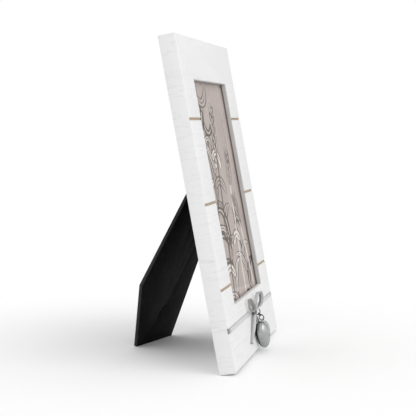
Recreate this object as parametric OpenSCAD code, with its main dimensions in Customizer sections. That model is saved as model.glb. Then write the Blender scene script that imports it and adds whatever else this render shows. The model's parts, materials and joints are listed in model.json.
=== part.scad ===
// A tabletop photo frame for a 13 x 18 cm print.
// Four painted wood rails hold glass, print and back board, an easel leg props the frame up,
// and a ribbon with a bow and a hanging heart crosses the bottom rail.
//
// Every piece is drawn on the upright frame and then leaned back as one.
// Upright: X runs to the right seen from the front, Y runs to the rear with the back face at 0,
// and Z runs up from the bottom edge.

/* [Frame] */
// Width of the frame
frame_w = 190; // [180:1:200]
// Height of the frame
frame_h = 250; // [240:1:262]
// Thickness of the frame, front to back
frame_t = 13; // [11.5:0.1:15]
// Width of the border at each side of the window
side_border = 35; // [33:0.5:37]
// Height of the border above the window
top_border = 33; // [30:0.5:38]
// Height of the border below the window
bottom_border = 45; // [42:0.5:50]
// Radius of the eased edges at the front
arris_r = 0.9; // [0.4:0.1:1.4]
// How far the whole frame leans back
lean = 10.54; // [9.5:0.02:11.5]

/* [Rebate and its layers] */
// Thickness of the lip in front of the glass
lip_t = 4.3; // [3.8:0.1:4.8]
// How far the layers reach behind the lip at the sides
rebate_lap = 5; // [4:0.1:5.6]
// How far the layers reach behind the lip at the top and the bottom
rebate_end_lap = 4; // [3.4:0.1:5]
// Play around the edge of each layer
layer_play = 0.5; // [0.2:0.05:0.8]
// Thickness of the glass
glass_t = 1.2; // [1:0.1:1.6]
// Thickness of the print
print_t = 0.3; // [0.2:0.05:0.5]
// Thickness of the back board
board_t = 3.6; // [3:0.1:4.4]

/* [Grooves] */
// Distance from the top edge to the first groove, and on to each next one
groove_pitch = 63; // [61:0.5:65]
// Width of a groove
groove_w = 2; // [1.2:0.1:2.8]
// Depth of a groove
groove_deep = 0.9; // [0.5:0.1:1.3]
// Number of grooves in each stile
groove_count = 3; // [2:1:3]

/* [Dowels] */
// Diameter of a corner dowel
dowel_d = 5; // [4:0.1:6]
// Length of a corner dowel
dowel_l = 20; // [14:0.5:26]
// Distance of each dowel in a pair from the middle of the pair
dowel_offset = 7; // [5:0.1:8]

/* [Turn buttons] */
// Width of a turn button
button_w = 8; // [7:0.1:9]
// Distance between the two round ends of a turn button
button_l = 13; // [11:0.1:14]
// Thickness of a turn button
button_t = 1.2; // [0.8:0.1:1.6]
// Distance from the rebate's edge to each screw
button_inset = 6.5; // [6:0.1:8]
// Distance of the lower pair above the bottom rail
button_low_gap = 21; // [13:0.5:27]
// Distance of the upper pair below the top rail
button_high_gap = 15; // [10:0.5:25]
// Diameter of a screw
screw_d = 3; // [2.4:0.1:3.4]
// Length of a screw in the wood
screw_l = 8; // [6:0.1:9]
// Diameter of a screw head
screw_head_d = 5.6; // [5:0.1:6.4]
// Height of a screw head
screw_head_h = 1.4; // [1:0.1:1.8]

/* [Easel hinge] */
// Distance of the hinge's middle from the side of the frame, on the right seen from the front
hinge_in = 55.4; // [54:0.1:57]
// Distance of the hinge's middle below the top edge
hinge_down = 101; // [98:0.5:104]
// Slant of the hinge line
hinge_slant = 29; // [27.5:0.1:30]
// Angle between the open leg and the back board
open_angle = 32; // [31:0.1:33]
// Length of the hinge along its pin
hinge_l = 40; // [34:0.5:44]
// Diameter of the hinge pin
hinge_pin_d = 2; // [1.6:0.1:2.2]
// Outside diameter of the knuckles
knuckle_d = 3.6; // [3.3:0.1:4]
// Length of each outer knuckle
outer_knuckle_l = 10; // [8:0.1:11]
// Thickness of a hinge leaf
leaf_t = 0.6; // [0.5:0.05:0.7]
// Length of a hinge leaf away from the pin
leaf_l = 15; // [13:0.1:17]
// Gap between the leg's leaf and the board when the leg is folded
fold_gap = 0.3; // [0.2:0.05:0.5]
// Diameter of a rivet
rivet_d = 3; // [2.6:0.1:3.4]
// Diameter of a rivet's head
rivet_head_d = 6; // [5:0.1:7]
// Distance of each rivet from the middle of the hinge
rivet_offset = 12; // [9:0.1:14]

/* [Easel leg] */
// Thickness of the leg
leg_t = 2.8; // [2.4:0.1:3.2]
// Width of the leg at the hinge
leg_top_w = 53.4; // [50:0.1:56]
// Sideways place of the outer corner, along the hinge line
leg_corner_side = 18.2; // [16:0.1:21]
// Height of the outer corner above the near end of the foot, along the leg
leg_corner_rise = 39.2; // [36:0.1:44]
// Sideways place of the near end of the foot, along the hinge line
foot_near_side = 26.4; // [24:0.1:29]
// Sideways place of the far end of the foot, along the hinge line
foot_far_side = 76; // [73:0.1:79]
// Length of the crescent slot
slot_l = 14; // [11:0.1:17]
// Width of the crescent slot
slot_w = 1.6; // [1.2:0.1:2.2]
// Radius of the crescent's bend
slot_r = 10.5; // [9:0.1:16]
// Sideways place of the slot, along the hinge line
slot_side = 34.4; // [32:0.1:37]
// Height of the slot above the near end of the foot, along the leg
slot_rise = 36.7; // [34:0.1:44]

/* [Ribbon and bow] */
// Width of the ribbon
ribbon_w = 3.6; // [3.2:0.1:4.4]
// Thickness of the ribbon
ribbon_t = 0.5; // [0.35:0.05:0.6]
// Height of the ribbon's centre line above the bottom edge
ribbon_up = 31; // [30:0.1:33]
// How far the middle of the bow sits above the ribbon's centre line
bow_rise = 0.9; // [0.4:0.1:1.5]
// Length of a bow loop
loop_l = 20.5; // [18:0.1:22]
// Height of a bow loop
loop_h = 10.5; // [9:0.1:12]
// Rise of each loop away from the knot
loop_rise = 23.5; // [19:0.5:28]
// Width of the knot
knot_w = 6; // [5.2:0.1:6.6]
// Height of the knot
knot_h = 4; // [3.8:0.1:4.6]
// How far the knot stands out from the frame
knot_out = 6; // [5.6:0.1:6.4]
// Length of a ribbon tail
tail_l = 33; // [28:0.5:36]
// Fall of each tail below level
tail_fall = 37.5; // [35:0.5:40]
// Turn of each tail about its own length
tail_turn = 33; // [25:0.5:40]

/* [Rings and heart] */
// Wire diameter of the rings
wire_d = 0.8; // [0.7:0.05:0.85]
// Diameter of the ring through the knot, at the middle of its wire
knot_ring_d = 5.2; // [5:0.05:5.3]
// Diameter of the small link, at the middle of its wire
link_d = 2.9; // [2.7:0.05:3.1]
// Diameter of the heart's ring, at the middle of its wire
charm_ring_d = 4.7; // [4.4:0.05:5]
// Diameter of the eyelet on the heart, at the middle of its wire
eyelet_d = 3; // [2.8:0.05:3.2]
// Width of the heart
heart_w = 20; // [18:0.1:21]
// Height of the heart
heart_h = 21.2; // [20:0.1:22]
// Thickness of the heart
heart_t = 10.5; // [9:0.1:11]
// Gap between the heart and the frame behind it
heart_gap = 0.3; // [0.2:0.05:0.6]
// How far the heart hangs out of line with the frame, tip inwards
heart_tilt = 6; // [4:0.5:8]

/* [Hidden] */
$fn = 48;

// Colours
paint_white = [0.93, 0.93, 0.925];
raw_wood = [0.76, 0.64, 0.48];
clear_glass = [0.8, 0.88, 0.88, 0.35];
print_taupe = [0.68, 0.6, 0.58];
kraft_brown = [0.66, 0.52, 0.36];
board_black = [0.11, 0.11, 0.11];
steel_grey = [0.7, 0.71, 0.72];
satin_grey = [0.72, 0.71, 0.71];
dark_wire = [0.3, 0.3, 0.31];
heart_silver = [0.66, 0.68, 0.69];

// Overrun of every cut past the face it goes through
over = 1;
// Radial play of a dowel, screw, rivet or pin in its hole
fit = 0.05;
// Play between faces that slide or lie on each other
skim = 0.05;

// Window, rebate and layers
window_w = frame_w - 2 * side_border;
window_h = frame_h - top_border - bottom_border;
window_mid = bottom_border + window_h / 2;
layer_w = window_w + 2 * rebate_lap;
layer_h = window_h + 2 * rebate_end_lap;
rebate_w = layer_w + 2 * layer_play;
rebate_h = layer_h + 2 * layer_play;
rebate_deep = frame_t - lip_t;
pad_t = rebate_deep - glass_t - print_t - board_t;
window_arris_r = arris_r * 2 / 3;
arris_steps = 5;

// Dowels stand in the full thickness of the stiles, outside the rebate
dowel_middle = (frame_w + rebate_w) / 4;
dowel_end_play = 0.5;

// Turn buttons
button_side = rebate_w / 2 + button_inset;
button_low = bottom_border + button_low_gap;
button_high = frame_h - top_border - button_high_gap;
button_play = 0.08;
screw_recess_w = screw_d / 4;
screw_recess_deep = screw_head_h / 2;

// Hinge: all its parts are placed from the middle of the pin
hinge_side = frame_w / 2 - hinge_in;
hinge_up = frame_h - hinge_down;
axis_out = knuckle_d / 2 + fold_gap;
inner_face = leaf_t + skim - knuckle_d / 2;
knuckle_gap = 0.3;
middle_knuckle_l = hinge_l - 2 * (outer_knuckle_l + knuckle_gap);
knuckle_clear = knuckle_d / 2 + knuckle_gap;
heel_l = 4.5;
heel_w = middle_knuckle_l - 2 * knuckle_gap;
pin_head_d = 3;
pin_head_t = 0.7;
rivet_row = 9.3;
rivet_head_h = 0.9;
rivet_tail_d = 4.8;
rivet_tail_t = 0.5;

// Leg
slot_steps = 8;

// Where the leg's inner face meets the floor, at a place along the hinge line
function foot_down(x) =
    let (turn_cos = cos(open_angle), turn_sin = sin(open_angle))
    let (slope = turn_cos * cos(hinge_slant) * cos(lean) + turn_sin * sin(lean))
    let (high = hinge_up + x * sin(hinge_slant) + inner_face * turn_sin * cos(hinge_slant))
    (high * cos(lean) - (axis_out + inner_face * turn_cos) * sin(lean)) / slope;

near_foot_down = foot_down(-foot_near_side);
slot_down = near_foot_down - slot_rise;

leg_outline = [
    [-leg_top_w / 2, -knuckle_clear - knuckle_gap],
    [-foot_far_side, -foot_down(-foot_far_side)],
    [-foot_near_side, -near_foot_down],
    [leg_corner_side, leg_corner_rise - near_foot_down],
    [leg_top_w / 2, -knuckle_clear - knuckle_gap]
];

// Ribbon
bow_up = ribbon_up + bow_rise;
tuck_deep = 1.4;
tuck_w = 1.2;
tuck_play = 0.3;
loop_pinch_l = 1.5;
loop_steps = 40;
loop_lift = ribbon_t + skim;
knot_r = 1.2;
knot_lift = ribbon_t + skim;
tail_play = 0.1;
tail_drop = 0.4;
tail_cup = 0.7;
tail_steps = 8;
tail_cut = 25;

// Rings, each placed as [height up the frame, distance out of the front]
wire_r = wire_d / 2;
reach = wire_d + 2 * skim;
knot_ring_r = knot_ring_d / 2;
knot_ring_at = [bow_up - knot_h / 2 - wire_r, ribbon_t + 2 * skim + wire_r + knot_ring_r];
hang_angle = 55;
hang_along = [-sin(hang_angle), cos(hang_angle)];
link_at = knot_ring_at + (knot_ring_r + link_d / 2 - reach) * hang_along;
link_low = link_at + link_d / 2 * hang_along;
charm_ring_turn = 60;
knot_ring_play = 0.1;

// Heart: a heart curve gives the outline, and scaled copies of it swell to the middle
heart_around = 48;
heart_layers = 10;
heart_puff_share = 0.8;
heart_up_shares = [13, -4, -2, -0.6];
heart_top_share = 11.36;
heart_low_share = -15.6;
heart_dip_share = 6.4;
heart_span_share = heart_top_share - heart_low_share;
heart_mid_share = (heart_top_share + heart_low_share) / 2;
heart_dip = (heart_dip_share - heart_mid_share) / heart_span_share * heart_h;
stem_l = 3.3;
stem_sunk = 3;
stem_d = 1.3;
eyelet_play = 0.4;
eyelet_up = heart_dip + stem_l + eyelet_d / 2;
held_up = eyelet_up + eyelet_d / 2 - wire_d - eyelet_play;
heart_out = heart_gap + norm([heart_t / 2 * cos(heart_tilt), heart_h / 2 * sin(heart_tilt)]);

// The heart's ring leans so that it reaches from the link out to the eyelet
charm_ring_tip = asin((heart_out + held_up * sin(heart_tilt) - link_low[1]) / (charm_ring_d - reach));
charm_ring_along = [-cos(charm_ring_tip), sin(charm_ring_tip)];
charm_ring_at = link_low + (charm_ring_d / 2 - reach) * charm_ring_along;
charm_ring_low = charm_ring_at + charm_ring_d / 2 * charm_ring_along;
heart_at = [charm_ring_low[0] - held_up * cos(heart_tilt), heart_out];

function heart_outline(a) =
    let (s = heart_up_shares)
    let (up = s[0] * cos(a) + s[1] * cos(2 * a) + s[2] * cos(3 * a) + s[3] * cos(4 * a))
    [pow(sin(a), 3) * heart_w / 2, (up - heart_mid_share) / heart_span_share * heart_h];

function heart_ring(i) =
    let (a = 180 * i / heart_layers - 90)
    let (size = pow(cos(a), heart_puff_share))
    [for (k = [0 : heart_around - 1])
        let (p = heart_outline(360 * k / heart_around))
        [p[0] * size, p[1] * size, sin(a) * heart_t / 2]];

heart_points = concat(
    [[0, 0, -heart_t / 2]],
    [for (i = [1 : heart_layers - 1]) each heart_ring(i)],
    [[0, 0, heart_t / 2]]
);

function heart_index(i, k) = 1 + (i - 1) * heart_around + k % heart_around;

// Seen from outside, each face runs clockwise; the outline itself runs clockwise from the front
heart_faces = concat(
    [for (k = [0 : heart_around - 1])
        [0, heart_index(1, k + 1), heart_index(1, k)]],
    [for (i = [1 : heart_layers - 2]) for (k = [0 : heart_around - 1])
        [heart_index(i, k), heart_index(i, k + 1), heart_index(i + 1, k + 1)]],
    [for (i = [1 : heart_layers - 2]) for (k = [0 : heart_around - 1])
        [heart_index(i, k), heart_index(i + 1, k + 1), heart_index(i + 1, k)]],
    [for (k = [0 : heart_around - 1])
        [len(heart_points) - 1, heart_index(heart_layers - 1, k), heart_index(heart_layers - 1, k + 1)]]
);

// The rearmost and foremost reach of the leaned frame, so that it stands centred on the origin
function leaned_y(up, back) = up * sin(lean) + back * cos(lean);

function leg_y(p, out) =
    let (rise = p[1] * cos(open_angle) + out * sin(open_angle))
    let (away = axis_out - p[1] * sin(open_angle) + out * cos(open_angle))
    leaned_y(hinge_up + p[0] * sin(hinge_slant) + rise * cos(hinge_slant), away);

function heart_y(p) =
    let (up = heart_at[0] + p[1] * cos(heart_tilt) - p[2] * sin(heart_tilt))
    let (out = heart_at[1] + p[1] * sin(heart_tilt) + p[2] * cos(heart_tilt))
    leaned_y(up, -frame_t - out);

rear_reach = max([for (p = leg_outline) max(leg_y(p, inner_face), leg_y(p, inner_face + leg_t))]);
front_reach = min([for (p = heart_points) heart_y(p)]);
stand_shift = -(rear_reach + front_reach) / 2;

// Placing

// Leans the upright frame back about its rear bottom edge
module leaned() {
    translate([0, stand_shift, 0])
        rotate([-lean, 0, 0])
            children();
}

// On the front face: X right, Y up the frame, Z out of the front
module on_front() {
    leaned()
        translate([0, -frame_t, 0])
            rotate([90, 0, 0])
                children();
}

// On the back face, seen from behind: X right, Y up the frame, Z out of the back
module on_back() {
    leaned()
        rotate([90, 0, 180])
            children();
}

// At the hinge pin: X along the pin, Y up the board, Z out of the back
module at_hinge() {
    on_back()
        translate([-hinge_side, hinge_up, axis_out])
            rotate([0, 0, hinge_slant])
                children();
}

// At the hinge pin and turned with the open leg, which runs down -Y
module at_leg() {
    at_hinge()
        rotate([-open_angle, 0, 0])
            children();
}

// Shapes that repeat

function arc(x, y, r, from, to, steps) =
    [for (i = [0 : steps])
        let (a = from + (to - from) * i / steps)
        [x + r * cos(a), y + r * sin(a)]];

// A board section whose two front corners are eased, with the front at -t
module eased_section(w, t, r) {
    polygon(concat(
        [[w / 2, 0], [-w / 2, 0]],
        arc(r - w / 2, r - t, r, 180, 270, arris_steps),
        arc(w / 2 - r, r - t, r, 270, 360, arris_steps)
    ));
}

// The section of a cut that flares out at the front, with the front at -t
module flared_section(w, t, r) {
    polygon(concat(
        [[w / 2, over], [-w / 2, over]],
        arc(-w / 2 - r, r - t, r, 0, -90, arris_steps),
        [[-w / 2 - r, -t - over], [w / 2 + r, -t - over]],
        arc(w / 2 + r, r - t, r, 270, 180, arris_steps)
    ));
}

// Sweeps a section sideways across the frame, centred at a height
module across(l, up) {
    translate([-l / 2, 0, up])
        rotate([0, 90, 0])
            linear_extrude(l)
                children();
}

module stadium(l, w) {
    translate([0, -w / 2])
        square([l, w]);
    circle(d = w);
    translate([l, 0])
        circle(d = w);
}

module wire_ring(d, wire) {
    rotate_extrude()
        translate([d / 2, 0])
            circle(d = wire, $fn = 24);
}

// A round head, flat below and domed above
module domed_head(d, h) {
    ball_r = (d * d / 4 + h * h) / (2 * h);
    intersection() {
        translate([0, 0, h - ball_r])
            sphere(r = ball_r);
        cylinder(d = d, h = h);
    }
}

// Frame

// The whole frame as one eased slab with its window and rebate
module frame_blank() {
    flare_w = window_w + 2 * (window_arris_r + over);
    flare_h = window_h + 2 * (window_arris_r + over);
    difference() {
        intersection() {
            linear_extrude(frame_h)
                eased_section(frame_w, frame_t, arris_r);
            across(frame_w, frame_h / 2)
                eased_section(frame_h, frame_t, arris_r);
        }
        intersection() {
            translate([0, 0, window_mid - flare_h / 2])
                linear_extrude(flare_h)
                    flared_section(window_w, frame_t, window_arris_r);
            across(flare_w, window_mid)
                flared_section(window_h, frame_t, window_arris_r);
        }
        translate([-rebate_w / 2, -rebate_deep, window_mid - rebate_h / 2])
            cube([rebate_w, rebate_deep + over, rebate_h]);
    }
}

// One dowel, or its hole, on each side of a corner joint at both stiles
module dowel_set(up, d, l) {
    for (side = [-1, 1])
        for (step = [-1, 1])
            translate([side * dowel_middle + step * dowel_offset, -frame_t / 2, up - l / 2])
                cylinder(d = d, h = l);
}

module dowel_holes() {
    for (up = [bottom_border, frame_h - top_border])
        dowel_set(up, dowel_d + 2 * fit, dowel_l + 2 * dowel_end_play);
}

module rail(from, to) {
    color(paint_white)
        leaned()
            difference() {
                intersection() {
                    frame_blank();
                    translate([-frame_w / 2 - over, -frame_t - over, from])
                        cube([frame_w + 2 * over, frame_t + 2 * over, to - from]);
                }
                dowel_holes();
                ribbon_tucks();
            }
}

module ribbon_tucks() {
    tall = ribbon_w + 2 * tuck_play;
    for (side = [0, 1])
        mirror([side, 0, 0])
            translate([frame_w / 2 - tuck_w, -frame_t - over, ribbon_up - tall / 2])
                cube([tuck_w + over, tuck_deep + over, tall]);
}

module top_rail() {
    rail(frame_h - top_border, frame_h + over);
}

module bottom_rail() {
    rail(-over, bottom_border);
}

module stile(side) {
    color(paint_white)
        leaned()
            difference() {
                intersection() {
                    frame_blank();
                    mirror([side < 0 ? 1 : 0, 0, 0])
                        translate([window_w / 2, -frame_t - over, bottom_border])
                            cube([side_border + over, frame_t + 2 * over, window_h]);
                }
                dowel_holes();
                stile_grooves();
                screw_holes();
            }
}

module stile_grooves() {
    for (i = [1 : groove_count])
        translate([-frame_w / 2 - over, -frame_t - over, frame_h - i * groove_pitch - groove_w / 2])
            cube([frame_w + 2 * over, groove_deep + over, groove_w]);
}

module screw_holes() {
    for (side = [-1, 1])
        for (up = [button_low, button_high])
            translate([side * button_side, over, up])
                rotate([90, 0, 0])
                    cylinder(d = screw_d + 2 * fit, h = screw_l + skim + over);
}

module left_stile() {
    stile(-1);
}

module right_stile() {
    stile(1);
}

module corner_dowels() {
    color(raw_wood)
        leaned()
            for (up = [bottom_border, frame_h - top_border])
                dowel_set(up, dowel_d, dowel_l);
}

// Layers in the rebate, from the glass back to the board

module layer(back, t) {
    leaned()
        translate([-layer_w / 2, back - t, window_mid - layer_h / 2])
            cube([layer_w, t, layer_h]);
}

module glass_pane() {
    color(clear_glass)
        layer(glass_t - rebate_deep, glass_t);
}

module photo_print() {
    color(print_taupe)
        layer(glass_t + print_t - rebate_deep, print_t);
}

module corrugated_pad() {
    color(kraft_brown)
        layer(-board_t, pad_t);
}

module back_board() {
    color(board_black)
        difference() {
            layer(0, board_t);
            at_hinge()
                rivet_places(rivet_row)
                    translate([0, 0, -axis_out - board_t - over]) {
                        cylinder(d = rivet_d + 2 * fit, h = board_t + 2 * over);
                        cylinder(d = rivet_tail_d + 2 * fit, h = rivet_tail_t + skim + over);
                    }
        }
}

// Turn buttons: each is screwed to a stile and turned in over the board

module turn_button(side, up) {
    color(steel_grey)
        on_back()
            translate([-side * button_side, up, skim])
                mirror([side < 0 ? 1 : 0, 0, 0])
                    difference() {
                        linear_extrude(button_t)
                            stadium(button_l, button_w);
                        translate([0, 0, -over])
                            cylinder(d = screw_d + 2 * button_play, h = button_t + 2 * over);
                    }
}

module turn_button_upper_left() {
    turn_button(-1, button_high);
}

module turn_button_upper_right() {
    turn_button(1, button_high);
}

module turn_button_lower_left() {
    turn_button(-1, button_low);
}

module turn_button_lower_right() {
    turn_button(1, button_low);
}

module turn_button_screws() {
    head_low = button_t + 2 * skim;
    color(steel_grey)
        on_back()
            for (side = [-1, 1])
                for (up = [button_low, button_high])
                    translate([side * button_side, up, 0])
                        difference() {
                            union() {
                                translate([0, 0, -screw_l])
                                    cylinder(d = screw_d, h = screw_l + head_low);
                                translate([0, 0, head_low])
                                    domed_head(screw_head_d, screw_head_h);
                            }
                            screw_recess(head_low + screw_head_h);
                        }
}

module screw_recess(top) {
    for (turn = [0, 90])
        rotate([0, 0, turn])
            translate([-screw_head_d / 4, -screw_recess_w / 2, top - screw_recess_deep])
                cube([screw_head_d / 2, screw_recess_w, screw_recess_deep + over]);
}

// Easel hinge and leg

module knuckle(l, mid) {
    translate([mid - l / 2, 0, 0])
        rotate([0, 90, 0])
            cylinder(d = knuckle_d, h = l);
}

module pin_bore() {
    translate([-hinge_l / 2 - over, 0, 0])
        rotate([0, 90, 0])
            cylinder(d = hinge_pin_d + 2 * fit, h = hinge_l + 2 * over);
}

module rivet_places(row) {
    for (side = [-1, 1])
        translate([side * rivet_offset, row, 0])
            children();
}

module hinge_board_leaf() {
    leaf_low = -axis_out;
    leaf_start = -knuckle_d / 4;
    notch_l = middle_knuckle_l + 2 * knuckle_gap;
    color(steel_grey)
        at_hinge()
            difference() {
                union() {
                    translate([-hinge_l / 2, leaf_start, leaf_low])
                        cube([hinge_l, leaf_l - leaf_start, leaf_t]);
                    for (side = [-1, 1])
                        knuckle(outer_knuckle_l, side * (hinge_l - outer_knuckle_l) / 2);
                }
                pin_bore();
                translate([-notch_l / 2, leaf_start - over, leaf_low - over])
                    cube([notch_l, knuckle_clear - leaf_start + over, leaf_t + 2 * over]);
                rivet_places(rivet_row)
                    translate([0, 0, leaf_low - over])
                        cylinder(d = rivet_d + 2 * fit, h = leaf_t + 2 * over);
            }
}

module hinge_leg_leaf() {
    leaf_low = inner_face - leaf_t;
    notch_l = outer_knuckle_l + knuckle_gap + over;
    color(steel_grey)
        difference() {
            union() {
                at_leg() {
                    translate([-hinge_l / 2, -leaf_l, leaf_low])
                        cube([hinge_l, leaf_l, leaf_t]);
                    knuckle(middle_knuckle_l, 0);
                }
                // The heel meets the board's leaf and stops the leg when it is open
                at_hinge()
                    translate([-heel_w / 2, 0, leaf_t - axis_out + skim])
                        cube([heel_w, heel_l, leaf_t]);
            }
            at_leg() {
                pin_bore();
                for (side = [0, 1])
                    mirror([side, 0, 0])
                        translate([middle_knuckle_l / 2, -knuckle_clear, leaf_low - over])
                            cube([notch_l, knuckle_clear + over, leaf_t + 2 * over]);
                rivet_places(-rivet_row)
                    translate([0, 0, leaf_low - over])
                        cylinder(d = rivet_d + 2 * fit, h = leaf_t + 2 * over);
            }
        }
}

module hinge_pin() {
    color(steel_grey)
        at_hinge()
            rotate([0, 90, 0]) {
                translate([0, 0, -hinge_l / 2 - skim])
                    cylinder(d = hinge_pin_d, h = hinge_l + 2 * skim);
                for (side = [0, 1])
                    mirror([0, 0, side])
                        translate([0, 0, hinge_l / 2 + skim])
                            cylinder(d = pin_head_d, h = pin_head_t);
            }
}

module board_rivets() {
    leaf_top = leaf_t - axis_out;
    color(steel_grey)
        at_hinge()
            rivet_places(rivet_row) {
                translate([0, 0, -axis_out - board_t])
                    cylinder(d = rivet_d, h = board_t + leaf_t);
                translate([0, 0, -axis_out - board_t])
                    cylinder(d = rivet_tail_d, h = rivet_tail_t);
                translate([0, 0, leaf_top])
                    domed_head(rivet_head_d, rivet_head_h);
            }
}

module leg_rivets() {
    color(steel_grey)
        at_leg()
            rivet_places(-rivet_row) {
                translate([0, 0, inner_face - leaf_t])
                    cylinder(d = rivet_d, h = leaf_t + leg_t);
                translate([0, 0, inner_face + leg_t])
                    domed_head(rivet_head_d, rivet_head_h);
            }
}

module easel_leg() {
    color(board_black)
        at_leg()
            translate([0, 0, inner_face])
                difference() {
                    linear_extrude(leg_t)
                        polygon(leg_outline);
                    rivet_places(-rivet_row)
                        translate([0, 0, -over])
                            cylinder(d = rivet_d + 2 * fit, h = leg_t + 2 * over);
                    translate([-slot_side, -slot_down, -over])
                        linear_extrude(leg_t + 2 * over)
                            crescent();
                }
}

// A narrow slot along an arc that bulges towards X, with round ends
module crescent() {
    half = slot_l / slot_r * 90 / PI;
    cap = 180 / slot_steps;
    end_x = slot_r * cos(half) - slot_r;
    end_y = slot_r * sin(half);
    polygon(concat(
        arc(-slot_r, 0, slot_r + slot_w / 2, -half, half, slot_steps),
        arc(end_x, end_y, slot_w / 2, half + cap, half + 180 - cap, slot_steps - 2),
        arc(-slot_r, 0, slot_r - slot_w / 2, half, -half, slot_steps),
        arc(end_x, -end_y, slot_w / 2, 180 - half + cap, 360 - half - cap, slot_steps - 2)
    ));
}

// Ribbon: one length crosses the rail on each side of the knot and tucks in at the edge

module ribbon_run(side) {
    end = frame_w / 2 - tuck_w / 2;
    color(satin_grey)
        on_front()
            mirror([side < 0 ? 1 : 0, 0, 0])
                translate([0, ribbon_up - ribbon_w / 2, 0]) {
                    translate([skim, 0, 0])
                        cube([end - skim, ribbon_w, ribbon_t]);
                    translate([end - ribbon_t, 0, skim - tuck_deep])
                        cube([ribbon_t, ribbon_w, tuck_deep + ribbon_t - skim]);
                }
}

module ribbon_left_run() {
    ribbon_run(-1);
}

module ribbon_right_run() {
    ribbon_run(1);
}

// A teardrop that starts from a point and swells to a round end
module teardrop(l, h) {
    widest = 4 / (3 * sqrt(3));
    polygon([for (i = [0 : loop_steps - 1])
        let (a = 360 * i / loop_steps)
        [l * (1 - cos(a)) / 2, h / 2 * sin(a) * sin(a / 2) / widest]]);
}

// Each loop stands on its edge, so its width runs out of the front
module bow_loop(side) {
    color(satin_grey)
        on_front()
            mirror([side < 0 ? 1 : 0, 0, 0])
                translate([knot_w / 2, bow_up, loop_lift])
                    rotate([0, 0, loop_rise])
                        linear_extrude(ribbon_w)
                            difference() {
                                teardrop(loop_l, loop_h);
                                translate([loop_pinch_l, 0])
                                    teardrop(loop_l - loop_pinch_l - ribbon_t, loop_h - 2 * ribbon_t);
                            }
}

module bow_left_loop() {
    bow_loop(-1);
}

module bow_right_loop() {
    bow_loop(1);
}

// The band of the knot, with a channel for the ring that passes through it
module bow_knot() {
    deep = knot_out - knot_lift;
    color(satin_grey)
        on_front()
            difference() {
                translate([-knot_w / 2, bow_up, knot_lift + deep / 2])
                    rotate([90, 0, 90])
                        linear_extrude(knot_w)
                            polygon(concat(
                                arc(knot_h / 2 - knot_r, deep / 2 - knot_r, knot_r, 0, 90, arris_steps),
                                arc(knot_r - knot_h / 2, deep / 2 - knot_r, knot_r, 90, 180, arris_steps),
                                arc(knot_r - knot_h / 2, knot_r - deep / 2, knot_r, 180, 270, arris_steps),
                                arc(knot_h / 2 - knot_r, knot_r - deep / 2, knot_r, 270, 360, arris_steps)
                            ));
                at_knot_ring()
                    wire_ring(knot_ring_d, wire_d + 2 * knot_ring_play);
            }
}

// The section of a ribbon that is gently cupped across its width
module cupped_section() {
    polygon(concat(
        [for (i = [0 : tail_steps])
            let (x = i / tail_steps * 2 - 1)
            [x * ribbon_w / 2, tail_cup * (1 - x * x)]],
        [for (i = [tail_steps : -1 : 0])
            let (x = i / tail_steps * 2 - 1)
            [x * ribbon_w / 2, tail_cup * (1 - x * x) + ribbon_t]]
    ));
}

module bow_tail(side) {
    lift = ribbon_t + tail_play + ribbon_w / 2 * sin(tail_turn);
    color(satin_grey)
        on_front()
            mirror([side < 0 ? 1 : 0, 0, 0])
                translate([knot_w / 2 + tail_play, bow_up - knot_h / 2 - tail_drop, lift])
                    rotate([0, 0, -tail_fall])
                        rotate([-tail_turn, 0, 0])
                            difference() {
                                rotate([90, 0, 90])
                                    linear_extrude(tail_l)
                                        cupped_section();
                                translate([tail_l, -ribbon_w / 2, -over])
                                    rotate([0, 0, tail_cut])
                                        translate([0, -ribbon_w, 0])
                                            cube([ribbon_w, 3 * ribbon_w, tail_cup + ribbon_t + 2 * over]);
                            }
}

module bow_left_tail() {
    bow_tail(-1);
}

module bow_right_tail() {
    bow_tail(1);
}

// Rings and heart

module at_knot_ring() {
    translate([0, knot_ring_at[0], knot_ring_at[1]])
        rotate([0, 90, 0])
            children();
}

module knot_ring() {
    color(dark_wire)
        on_front()
            at_knot_ring()
                wire_ring(knot_ring_d, wire_d);
}

module link_ring() {
    color(dark_wire)
        on_front()
            translate([0, link_at[0], link_at[1]])
                rotate([hang_angle - 90, 0, 0])
                    wire_ring(link_d, wire_d);
}

module charm_ring() {
    color(dark_wire)
        on_front()
            translate([0, charm_ring_at[0], charm_ring_at[1]])
                rotate([-charm_ring_tip, 0, 0])
                    rotate([0, charm_ring_turn, 0])
                        wire_ring(charm_ring_d, wire_d);
}

module heart_charm() {
    color(heart_silver)
        on_front()
            translate([0, heart_at[0], heart_at[1]])
                rotate([heart_tilt, 0, 0]) {
                    polyhedron(heart_points, heart_faces, convexity = 4);
                    translate([0, eyelet_up, 0])
                        wire_ring(eyelet_d, wire_d);
                    translate([0, heart_dip - stem_sunk, 0])
                        rotate([-90, 0, 0])
                            cylinder(d = stem_d, h = stem_sunk + stem_l);
                }
}

top_rail();
bottom_rail();
left_stile();
right_stile();
corner_dowels();
glass_pane();
photo_print();
corrugated_pad();
back_board();
turn_button_upper_left();
turn_button_upper_right();
turn_button_lower_left();
turn_button_lower_right();
turn_button_screws();
hinge_board_leaf();
hinge_leg_leaf();
hinge_pin();
board_rivets();
leg_rivets();
easel_leg();
ribbon_left_run();
ribbon_right_run();
bow_left_loop();
bow_right_loop();
bow_knot();
bow_left_tail();
bow_right_tail();
knot_ring();
link_ring();
charm_ring();
heart_charm();
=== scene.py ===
import json
import random
from math import atan2, ceil, copysign, cos, degrees, exp, hypot, pi, radians, sin, sqrt, tan

import bmesh
import bpy
from mathutils import Euler, Matrix, Vector


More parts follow.
